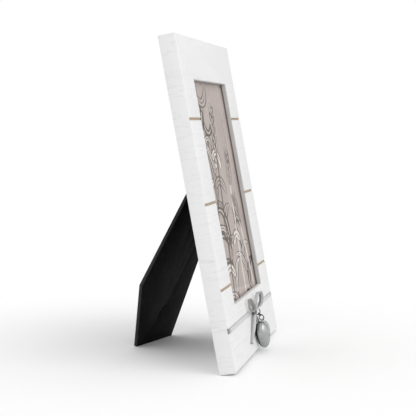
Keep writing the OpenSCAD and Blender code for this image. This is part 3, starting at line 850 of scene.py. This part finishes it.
runValues = {
    "start": 0.6,  # how far from the middle it begins, under the knot
    "endIn": 0.45,  # how far inside the node's box its end, its edges and its foot stay
    "edgeIn": 0.02,
    "footIn": 0.15,
    "lift": 0.16,
    "crown": 0.16,  # how much the middle stands above the edges
    "bead": 0.12,  # the thicker woven edges
    "wave": 0.05, "waveRate": 0.21,
    "pleat": 0.16, "pleatRate": 9, "pleatFrom": 2,
    "gather": 0.42,  # how much narrower it is where the knot holds it
    "gatherFrom": 1.5, "gatherTo": 7.0,
    "turnRadius": 0.55,
    "pressed": 0.45,  # how much flatter it lies where it bends over the frame's side
    "pressedLength": 6,
    # painted light that makes the run paler
    "tone": 0.45,
    "topEdge": 0.8,  # how dark the upper edge is
    "lowEdge": 0.2,
    "knotShade": 0.5,
    "tucked": 5.0,  # the length at the end that lies in shade
    "tuckShade": 0.95,
}


def ribbonRun(side):
    own = runValues
    node, _ = sided("ribbon_{}_run", side)
    low, high = faceBox(node)
    middle, half = (low.y + high.y) / 2, (high.y - low.y) / 2 - own["edgeIn"]
    start, radius = own["start"], own["turnRadius"]
    flat = max(abs(low.x), abs(high.x)) - own["endIn"] - radius - start
    bendLength = radius * pi / 2
    total = flat + bendLength - low.z - own["footIn"]

    def shape(s, q):
        travelled = s * total
        gathered = 1 - ease(travelled, own["gatherFrom"], own["gatherTo"])
        pleated = 1 - ease(travelled, own["pleatFrom"], own["gatherTo"])
        wave = own["wave"] * sin(travelled * own["waveRate"] + side) * (1 - abs(q))
        crown = own["crown"] * (1 - q * q) + wave + own["bead"] * ease(abs(q), 0.82, 0.95)
        pleats = own["pleat"] * cos(q * own["pleatRate"]) * pleated
        rise = own["lift"] + crown + pleats
        if travelled <= flat:
            pressed = own["pressed"] * ease(travelled, flat - own["pressedLength"], flat)
            u, w = start + travelled, rise * (1 - pressed)
        else:
            turn = min(1.0, (travelled - flat) / bendLength) * pi / 2
            top = rise * (1 - own["pressed"])
            past = max(0.0, travelled - flat - bendLength)
            u = start + flat + (radius + (top - 0.1) * 0.3) * sin(turn)
            w = top - radius * (1 - cos(turn)) - past
        return side * u, middle + q * half * (1 - own["gather"] * gathered), w

    # Painted light makes the run paler, painted shade darkens it at the knot and where it is tucked
    # into the slot, and its edges are darker
    def tone(s, q):
        travelled = s * total
        edge = own["topEdge"] * ease(q, 0.62, 0.9) + own["lowEdge"] * ease(-q, 0.75, 0.95)
        knotShade = own["knotShade"] * (1 - ease(travelled, 2.5, 6.0))
        tuck = own["tuckShade"] * ease(travelled, flat - own["tucked"], flat - 0.3)
        return own["tone"] - max(edge, knotShade, tuck)

    ribbonStrip(node, shape, [tone], total, 2 * half, 140, 20, side < 0)


loopValues = {
    "around": 46.0,
    "length": (22.0, 19.6),  # left and right
    "height": 10.3,
    "rise": 23.5,
    "inKnot": 0.9,  # how far each loop reaches into the knot
    "pinch": 0.62,  # share of its width that is left at the knot
    "pinchTo": 0.3,
    "flare": 1.04,
    "open": 0.05,  # how much taller and longer its front edge is
    "reach": 0.015,
    "pleat": 0.204, "pleatRate": 7.5, "pleatPhase": (0.6, -0.5),
    "ripple": 0.18,
    "start": 0.36,
    "lean": (0.0, 3.2),  # how far the far end of the left and right loop stands out
    "lift": (-4.0, 1.5),  # degrees that each rises beyond the shared slope
    # painted shade where the ends meet the knot, and painted light and shade of folds
    "ends": 0.45,  # how dark the ends are at the knot
    "folds": 0.12,
}


def bowLoop(side):
    own = loopValues
    node, which = sided("bow_{}_loop", side)
    low, high = faceBox(node)
    middle = (low.z + high.z) / 2
    half = (high.z - low.z) / 2
    rootX, rootY = knotHigh.x - own["inKnot"], (knotLow.y + knotHigh.y) / 2
    rise = radians(own["rise"] + own["lift"][which])
    widest = 4 / (3 * sqrt(3))  # the largest sin(a) * sin(a / 2)

    def shape(s, q):
        upper = s < 0.5
        a = own["start"] + (2 * pi - 2 * own["start"]) * s
        out = (1 - cos(a)) / 2
        x = own["length"][which] * out * (1 + own["reach"] * q) + own["inKnot"]
        opened = 1 + own["open"] * q
        y = own["height"] / 2 * sin(a) * sin(a / 2) / widest * opened
        fold = cos(q * own["pleatRate"] + own["pleatPhase"][0 if upper else 1])
        y += own["pleat"] * (1 - ease(out, 0.05, 0.55)) * fold * (1 if upper else -1)
        y += own["ripple"] * sin(q * 2.2 + s * 9) * out
        wide = own["pinch"] + (own["flare"] - own["pinch"]) * ease(out, 0.0, own["pinchTo"])
        w = middle + q * half * min(wide, 1.0) + own["lean"][which] * out
        u = x * cos(rise) - y * sin(rise)
        v = x * sin(rise) + y * cos(rise)
        return side * (rootX + u - own["inKnot"]), rootY + v, w

    # Painted light and shade: light and shade of folds and shade where the ends meet the knot; the
    # right loop has a lit front edge and a shaded back edge, the left loop a lit back half and a
    # shaded front half
    def tone(s, q):
        fromTip = abs(s - 0.5)
        folds = own["folds"] * cos(q * 9 + 5 * s) * (1 - ease(fromTip, 0.0, 0.25))
        ends = own["ends"] * ease(fromTip, 0.36, 0.5)
        if side > 0:
            return 0.05 + folds + 0.55 * ease(q, 0.62, 0.9) - 0.4 * ease(-q, 0.75, 0.98) - ends
        return 0.75 - 1.15 * ease(q, -0.35, 0.05) + folds - ends

    # Painted light and shade inside a loop: the right loop is shaded near its back edge and lit
    # towards its front edge, the left loop is lit evenly
    def backTone(s, q):
        return 0.75 * ease(q, -0.45, 0.05) - 0.25 if side > 0 else 0.3

    ribbonStrip(node, shape, [tone, backTone], own["around"], 2 * half, 96, 20, side > 0)


# The knot: a ball led to a squarish roll with creases around it

knotValues = {
    "crease": 0.24,
    "creases": 2.5,
    "creaseSlant": 0.25,
    "full": 0.36,  # the lower, the blunter its ends
    "waist": 0.10,
    "square": 3.2,  # the higher, the squarer its section
    "spread": 0.9,
    "inset": 0.99,
    # painted shade over the knot, a painted highlight on its lower front and a painted shadow along
    # its underside
    "tone": -0.2,
    "rollTone": 1.1,
    "underTone": 1.7,
    "uvAround": 1.4,
}


def bowKnot():
    own = knotValues
    middle = (knotLow + knotHigh) / 2
    half = (knotHigh - knotLow) / 2
    bm = bmesh.new()
    uv = bm.loops.layers.uv.new("ribbon")
    layer = bm.verts.layers.float.new("tone")
    bmesh.ops.create_uvsphere(bm, u_segments=48, v_segments=36, radius=1.0)
    for face in bm.faces:
        for loop in face.loops:
            co = loop.vert.co
            loop[uv].uv = (atan2(co.y, co.x) * half.y * own["uvAround"], co.z * half.x)
    for vert in bm.verts:
        x, y, z = vert.co
        away = hypot(x, y)
        angle = atan2(y, x)
        c, s = cos(angle), sin(angle)
        slant = own["creaseSlant"] * sin(angle)
        fold = own["crease"] * cos(z * pi * own["creases"] + slant)
        swell = away ** own["full"] * (1 - own["waist"] * (1 - z * z)) if away > 0 else 0.0
        power = own["square"]
        reach = swell * (abs(c) ** power + abs(s) ** power) ** (-1 / power)
        # Painted highlight on the lower front of the knot and painted shadow along its underside
        roll = ease(-c, 0.0, 0.35) * ease(s, -0.1, 0.4)
        under = ease(-c, 0.84, 0.96)
        vert[layer] = own["tone"] + own["rollTone"] * roll - own["underTone"] * under
        u = half.x * copysign(abs(z) ** own["spread"], z) * own["inset"]
        v = c * reach * (half.y - fold * 0.5)
        w = s * reach * (half.z - abs(fold) * 0.6 * ease(s, 0.1, 0.9))
        vert.co = toWorld @ (middle + Vector((u, v, w)))
    faceOutward(bm)
    nodePiece("bow_knot", bm, [satinFront], "frame", 180)


tailValues = {
    "inKnot": 0.8,  # how far a tail reaches into the knot, from its side and from below
    "underKnot": 0.5,
    "fall": (37.5, 40.0),  # left and right
    "turn": ((76.0, 16.0), (33.0, 33.0)),  # off the frame, at the knot and at the tip
    "length": (33.6, 32.6),
    "cut": 25.0,
    "cup": (0.95, 0.7),
    "pinch": (1.08, 0.6), "pinchTo": 8,
    "wave": 0.3, "waveRate": 0.19,
    # painted shade over the tail, with painted light on the half away from the frame
    "tone": -0.28,
    "lit": 0.42,
    "startShade": 0.9,
    "edgeShade": 0.45,
    "tipShade": 0.7,
}


def bowTail(side):
    own = tailValues
    node, which = sided("bow_{}_tail", side)
    half = (ribbonHigh.y - ribbonLow.y) / 2
    fall = radians(own["fall"][which])
    length, pinch = own["length"][which], own["pinch"][which]
    along = Vector((cos(fall), -sin(fall), 0))
    down = Vector((-sin(fall), -cos(fall), 0))
    root = Vector((knotHigh.x - own["inKnot"], knotLow.y + own["underKnot"],
                   ribbonValues["thick"]))
    nearTurn, farTurn = (radians(a) for a in own["turn"][which])

    def shape(s, q):
        cut = tan(radians(own["cut"])) * q * half
        x = s * (length - cut)
        turn = nearTurn + (farTurn - nearTurn) * ease(s, 0.1, 1.0)
        wide = pinch + (1 - pinch) * ease(x, 0, own["pinchTo"])
        across = down * cos(turn) + Vector((0, 0, sin(turn)))
        normal = down * -sin(turn) + Vector((0, 0, cos(turn)))
        cup = own["cup"][which] * (1 - q * q) * (0.6 + 0.4 * ease(x, 0, 12))
        cup += own["wave"] * sin(x * own["waveRate"] + side * 0.5) * ease(x, 4, 16)
        point = root + along * x + across * ((q + 1) * half * wide) + normal * cup
        return side * point.x, point.y, max(point.z, ribbonValues["thick"])

    # Painted shade overall, at the top under the knot, along the edges and at the tip, with painted
    # light on the half away from the frame
    def tone(s, q):
        start = own["startShade"] * (1 - ease(s, 0.07, 0.17))
        edges = own["edgeShade"] * ease(abs(q), 0.8, 0.98)
        tip = own["tipShade"] * ease(s, 0.96, 1.0)
        return own["tone"] + own["lit"] * ease(q, -0.25, 0.2) - start - edges - tip

    ribbonStrip(node, shape, [tone], length, 2 * half, 90, 16, side > 0)


for side in (-1, 1):
    ribbonRun(side)
    bowLoop(side)
    bowTail(side)
bowKnot()
print("ribbon and bow made")


# Jump rings, each bent from wire with a fine split where its ends meet

ringValues = {
    "wire": 0.8,
    "splitAngle": 2.5,
    "dark": (0.045, 0.045, 0.05, 1),
    "worn": (0.12, 0.12, 0.125, 1),
    "roughness": (0.18, 0.34),
}


def darkWire():
    own = ringValues
    material, tree, shader, _, tone = mottledMaterial("dark wire", 0.9, 6.0)
    colour = mix(tree, tone["Patches"], own["dark"], own["worn"])
    finish(tree, shader, colour, spread(tree, tone["Grit"], *own["roughness"]),
           bump(tree, tone["Grit"], 0.01, 0.3), metallic=1.0)
    return material


wire = darkWire()


# The middle of the ring's box, its axis, a way out to its rim, and its outer radius
def ringFrame(node):
    points = [v.co for v in cad[node].data.vertices]
    low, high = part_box(node)
    middle = (low + high) / 2
    far = max(points, key=lambda p: (p - middle).length) - middle
    side = max(points, key=lambda p: far.cross(p - middle).length) - middle
    return middle, far.cross(side).normalized(), far.normalized(), far.length


def jumpRing(node, body, splitAt):
    middle, axis, start, outer = ringFrame(node)
    radius = ringValues["wire"] / 2 * mm
    first = Matrix.Rotation(radians(splitAt), 3, axis) @ start
    bm = bmesh.new()
    made = bmesh.ops.create_circle(bm, cap_ends=True, segments=20, radius=radius)
    turn = Matrix((first, axis, first.cross(axis))).transposed().to_4x4()
    bmesh.ops.transform(bm, matrix=Matrix.Translation(middle + first * (outer - radius)) @ turn,
                        verts=made["verts"])
    bmesh.ops.spin(bm, geom=bm.faces[:] + bm.edges[:] + bm.verts[:], cent=middle, axis=axis,
                   angle=radians(360 - ringValues["splitAngle"]), steps=72, use_merge=False)
    faceOutward(bm)
    nodePiece(node, bm, [wire], body, 50)


jumpRing("knot_ring", "frame", 150)
jumpRing("link_ring", "charm_link", 40)
jumpRing("charm_ring", "charm_link", 200)


# The heart: a ball whose points are led to a heart outline that swells towards the middle

heartValues = {
    "upShares": (13, -4, -2, -0.6),
    "topShare": 11.36,
    "lowShare": -15.6,
    "dipShare": 6.4,
    "puff": (0.14, 0.8),  # how fast its back and its front swell from the rim
    "rimGroove": 0.012,
    "rimWide": 0.05,
    "cleft": 0.6,  # depth and width of the valley between its lobes
    "cleftWide": 2.5,
    "middle": (0, 10.25, 5.6375),
    "tilt": 6.0,
    "width": 20.0,
    "height": 21.2,
    "thick": 10.5,
    "stem": 3.3, "stemWide": 1.3,
    "stemEnds": (0.62, 0.36),  # its radius at the heart and at the eyelet, as shares of its width
    "stemSunk": 2.2, "stemDown": 0.9,
    "eyelet": 3.0,
    "wire": 0.8,
    "front": (0.50, 0.515, 0.515, 1),
    # painted shade and dark reflection on the back half, and painted shade in the valley between
    # the lobes
    "tarnish": (0.012, 0.013, 0.014, 1),
    "tarnishFrom": -2.0,  # depth in the heart, in mm behind its rim
    "tarnishTo": -3.8,
    "cleftTarnish": 0.55,
    "roughness": (0.32, 0.42),
}


def silverHeart():
    own = heartValues
    material, tree, shader, _, tone = mottledMaterial("silver heart", 0.12, 3.0)
    # Painted shade and dark reflection, kept in the mesh, darken the back half and the valley
    # between the lobes
    colour = mix(tree, attribute(tree, "dull"), own["front"], own["tarnish"])
    finish(tree, shader, colour, spread(tree, tone["Patches"], *own["roughness"]),
           bump(tree, tone["Patches"], 0.05, 0.25), metallic=1.0)
    return material


silver = silverHeart()
heartSpan = heartValues["topShare"] - heartValues["lowShare"]
heartMid = (heartValues["topShare"] + heartValues["lowShare"]) / 2
heartPlace = (toWorld @ Matrix.Translation(heartValues["middle"])
              @ Matrix.Rotation(radians(heartValues["tilt"]), 4, "X"))
heartDip = (heartValues["dipShare"] - heartMid) / heartSpan * heartValues["height"]


def heartCharm():
    own = heartValues
    back, front = own["puff"]
    bm = bmesh.new()
    bmesh.ops.create_uvsphere(bm, u_segments=128, v_segments=64, radius=1.0)
    dull = bm.verts.layers.float.new("dull")
    for vert in bm.verts:
        x, y, z = vert.co
        away = hypot(x, y)
        a = atan2(x, y)
        up = sum(share * cos((k + 1) * a) for k, share in enumerate(own["upShares"]))
        power = front if z > 0 else back + (front - back) * ease(-cos(a), -0.1, 0.8)
        size = away ** power if away > 0 else 0.0
        rim = 1 - own["rimGroove"] * exp(-(z / own["rimWide"]) ** 2)
        px = sin(a) ** 3 * own["width"] / 2 * size * rim
        py = (up - heartMid) / heartSpan * own["height"] * size * rim
        cleft = exp(-(px / own["cleftWide"]) ** 2)
        valley = own["cleft"] * cleft * ease(py, -3, 5.5)
        depth = z * own["thick"] / 2
        # Painted shade in the valley between the lobes, and painted shade and dark reflection on
        # the back half
        recess = own["cleftTarnish"] * ease(cleft * ease(py, -2, 6), 0.25, 0.75)
        vert[dull] = max(recess, ease(-depth, -own["tarnishFrom"], -own["tarnishTo"]))
        vert.co = heartPlace @ Vector((px, py, depth * (1 - valley)))
    faceOutward(bm)
    nodePiece("heart_charm", bm, [silver], "heart", 70)


def heartEyelet():
    own = heartValues
    middle = heartDip + own["stem"] + own["eyelet"] / 2
    bm = bmesh.new()
    ring = bmesh.ops.create_circle(bm, segments=20, radius=own["wire"] / 2)
    upright = Matrix.Rotation(pi / 2, 3, "X")
    bmesh.ops.rotate(bm, verts=ring["verts"], cent=(0, 0, 0), matrix=upright)
    bmesh.ops.translate(bm, verts=ring["verts"], vec=(own["eyelet"] / 2, 0, 0))
    bmesh.ops.spin(bm, geom=bm.edges[:] + bm.verts[:], cent=(0, 0, 0), axis=(0, 0, 1),
                   angle=2 * pi, steps=64, use_merge=True)
    bmesh.ops.remove_doubles(bm, verts=bm.verts, dist=1e-4)
    faceOutward(bm)
    bmesh.ops.transform(bm, matrix=heartPlace @ Matrix.Translation((0, middle, 0)), verts=bm.verts)
    makePiece("heartEyelet", bm, [silver], "heart", smoothAngle=70)


def heartStem():
    own = heartValues
    low, high = (own["stemWide"] * share for share in own["stemEnds"])
    middle = heartDip + own["stem"] / 2 - own["stemDown"]
    bm = bmesh.new()
    stem = bmesh.ops.create_cone(bm, cap_ends=True, segments=28, radius1=low, radius2=high,
                                 depth=own["stem"] + own["stemSunk"])
    upright = Matrix.Rotation(-pi / 2, 3, "X")
    bmesh.ops.rotate(bm, verts=stem["verts"], cent=(0, 0, 0), matrix=upright)
    bmesh.ops.transform(bm, matrix=heartPlace @ Matrix.Translation((0, middle, 0)), verts=bm.verts)
    faceOutward(bm)
    makePiece("heartStem", bm, [silver], "heart", smoothAngle=50)


heartCharm()
heartEyelet()
heartStem()
print("rings and heart made")


# Studio: a white floor that keeps the shadow, a soft lamp, a dark card, and the camera

studioValues = {
    "ambient": 0.83,
    "keyPower": 15.6,
    "keyPlace": (-0.95, -1.55, 1.75),
    "keyAim": (0, 0, 0.1),
    "keySize": 2.3,
    "white": (1, 1, 1, 1),
    "floorColour": (0.88, 0.88, 0.88, 1), "floorSize": 8.0,
    "fadeFrom": 0.08,  # distances at which the floor begins to fade into the white and is white
    "fadeTo": 0.34,
    "cardColour": (0.05, 0.05, 0.052, 1), "cardSize": 0.9,
    "cardPlace": (0.75, -0.12, 0.2),
}

cameraValues = {
    "offset": (-0.90888, -0.16837, 0.18568),  # from the middle of the frame's rear bottom edge
    "pitch": -4.361,
    "yaw": -77.736,
    "lens": 100.32,
    "sensor": 36.0,
    "clip": (0.01, 50),
}


def flatObject(name, size, material, place=None):
    bm = bmesh.new()
    bmesh.ops.create_grid(bm, x_segments=1, y_segments=1, size=size / 2)
    if place is not None:
        bmesh.ops.transform(bm, matrix=place, verts=bm.verts)
    return meshObject(name, bm, [material])


def glow(tree, colour):
    return addNode(tree, "Emission", {"Color": colour, "Strength": 1.0})[0]


def studioFloor():
    own = studioValues
    material, tree, _ = newMaterial("floor")
    place = addNode(tree, "TexCoord")["Object"]
    away = addNode(tree, "VectorMath", {0: place}, operation="LENGTH")["Value"]
    fade = remap(tree, away, own["fadeFrom"], own["fadeTo"])
    path = addNode(tree, "LightPath")
    seen = maths(tree, "MAXIMUM", path["Is Camera Ray"], path["Is Transmission Ray"])
    colour = mix(tree, seen, own["floorColour"], own["white"])
    matte = addNode(tree, "BsdfDiffuse", {"Color": colour})[0]
    inputs = {0: product(tree, fade, seen), 1: matte, 2: glow(tree, own["white"])}
    putOut(tree, addNode(tree, "MixShader", inputs)[0])
    floor = flatObject("studioFloor", own["floorSize"], material)


# What looks at the world sees it white, and what it lights gets the ambient share
def studioLight():
    own = studioValues
    world = bpy.data.worlds.new("studio")
    bpy.context.scene.world = world
    world.use_nodes = True
    tree = world.node_tree
    path = addNode(tree, "LightPath")
    seen = maths(tree, "MAXIMUM", path["Is Camera Ray"], path["Is Glossy Ray"])
    seen = maths(tree, "MAXIMUM", seen, path["Is Transmission Ray"])
    strength = addNode(tree, "Mix", {0: seen, 2: own["ambient"], 3: 1.0})[0]
    feedAll(tree, tree.nodes["Background"], {"Color": own["white"], "Strength": strength})
    lamp = bpy.data.lights.new("key", "AREA")
    lamp.shape = "DISK"
    lamp.size = own["keySize"]
    lamp.energy = own["keyPower"]
    key = addObject("key", lamp)
    key.location = own["keyPlace"]
    aim = Vector(own["keyAim"]) - key.location
    key.rotation_euler = aim.to_track_quat("-Z", "Y").to_euler()


# A dark card beyond the frame that only reflections see, so that metal and glass aren't all white
def darkCard():
    own = studioValues
    material, tree, _ = newMaterial("dark card")
    putOut(tree, glow(tree, own["cardColour"]))
    place = Matrix.Translation(own["cardPlace"]) @ Matrix.Rotation(pi / 2, 4, "Y")
    card = flatObject("darkCard", own["cardSize"], material, place)
    for ray in ("camera", "diffuse", "transmission", "shadow", "volume_scatter"):
        setattr(card, "visible_" + ray, False)


def studioCamera():
    own = cameraValues
    lens = bpy.data.cameras.new("camera")
    lens.sensor_width = own["sensor"]
    lens.lens = own["lens"]
    lens.clip_start, lens.clip_end = own["clip"]
    camera = addObject("camera", lens)
    camera.location = toWorld @ Vector((0, 0, frameBack)) + Vector(own["offset"])
    camera.rotation_euler = Euler((radians(90 + own["pitch"]), 0, radians(own["yaw"])))
    bpy.context.scene.camera = camera


studioFloor()
darkCard()
studioLight()
studioCamera()
bpy.context.scene.view_settings.view_transform = "Standard"
print("studio set")
